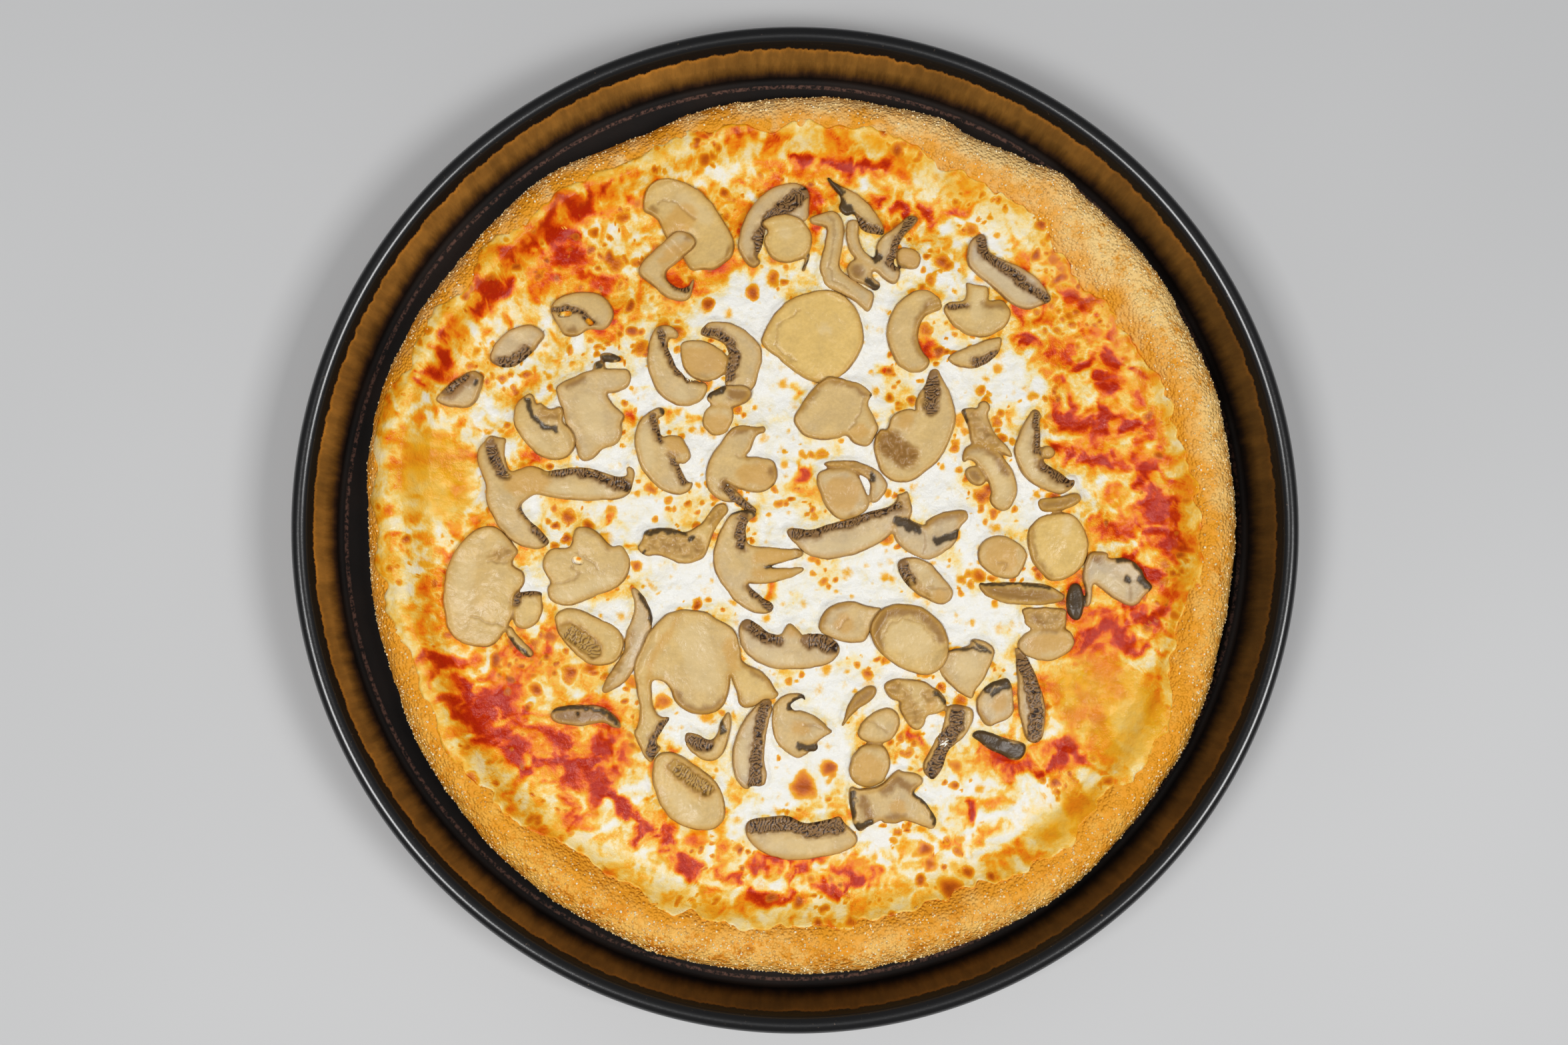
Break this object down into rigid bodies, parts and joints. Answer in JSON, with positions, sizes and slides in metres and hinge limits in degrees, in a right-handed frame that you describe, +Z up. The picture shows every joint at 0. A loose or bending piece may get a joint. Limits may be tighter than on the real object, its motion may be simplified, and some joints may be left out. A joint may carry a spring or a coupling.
{
  "type": "deep dish pizza",
  "caption": "Whole uncut deep dish pizza with tomato sauce, melted cheese and sliced mushrooms, served in its round black baking pan.",
  "frame": {"origin": "middle of the pan's underside", "axes": "+Z up through the pizza, +X to the right and +Y away from the viewer in the picture"},
  "size_m": [0.368, 0.368, 0.0399],
  "materials": {
    "pan_steel": "glossy black, seasoned brown on the inside wall",
    "baked_dough": "matte baked crust, rough with coarse meal",
    "tomato_sauce": "wet and oily, partly under melted cheese",
    "melted_cheese": "soft gloss with browned bubbles",
    "mushroom": "moist and glossy, tan flesh with dark gills"
  },
  "bodies": {
    "root": {"pan": "pan_steel", "dough": "baked_dough", "sauce": "tomato_sauce", "cheese": "melted_cheese", "whole_slice_big_crown": "mushroom", "whole_slice_hooked": "mushroom", "cap_slice_top": "mushroom", "disc_slice_on_cap": "mushroom", "gill_slice_long": "mushroom", "gill_slice_curled": "mushroom", "disc_slice_big": "mushroom", "cap_slice_open": "mushroom", "whole_slice_anchor": "mushroom", "cap_slice_slim": "mushroom", "cap_slice_grey": "mushroom", "whole_slice_arch": "mushroom", "cap_slice_oval": "mushroom", "gill_slice_outer": "mushroom", "cap_slice_broad": "mushroom", "cap_slice_folded": "mushroom", "cap_slice_pair": "mushroom", "whole_slice_barrel": "mushroom", "stem_piece_pair": "mushroom", "cap_slice_left_middle": "mushroom", "whole_slice_middle": "mushroom", "frill_slice_middle": "mushroom", "cap_slice_rounded": "mushroom", "stem_piece_barrel": "mushroom", "whole_slice_heart": "mushroom", "cap_slice_long": "mushroom", "whole_slice_forked": "mushroom", "cap_slice_bent": "mushroom", "cap_slice_right": "mushroom", "disc_slice_golden": "mushroom", "disc_slice_brown": "mushroom", "cap_slice_far_right": "mushroom", "gill_slice_brown": "mushroom", "stem_piece_stack": "mushroom", "cap_slice_browned": "mushroom", "cap_slice_under_ring": "mushroom", "cap_slice_pale": "mushroom", "disc_slice_ringed": "mushroom", "cap_slice_smile": "mushroom", "cap_slice_leaning": "mushroom", "whole_slice_largest": "mushroom", "bean_slice_left": "mushroom", "whole_slice_knot": "mushroom", "whole_slice_far_left": "mushroom", "whole_slice_wishbone": "mushroom", "gill_slice_dark": "mushroom", "cap_slice_small": "mushroom", "gill_slice_upright": "mushroom", "whole_slice_pointed": "mushroom", "bean_slice_bottom": "mushroom", "cap_slice_bottom": "mushroom", "disc_slice_stack": "mushroom", "frill_slice_right": "mushroom", "disc_slice_dark_edge": "mushroom", "gill_slice_lens": "mushroom", "whole_slice_three_armed": "mushroom"}
  },
  "joints": []
}
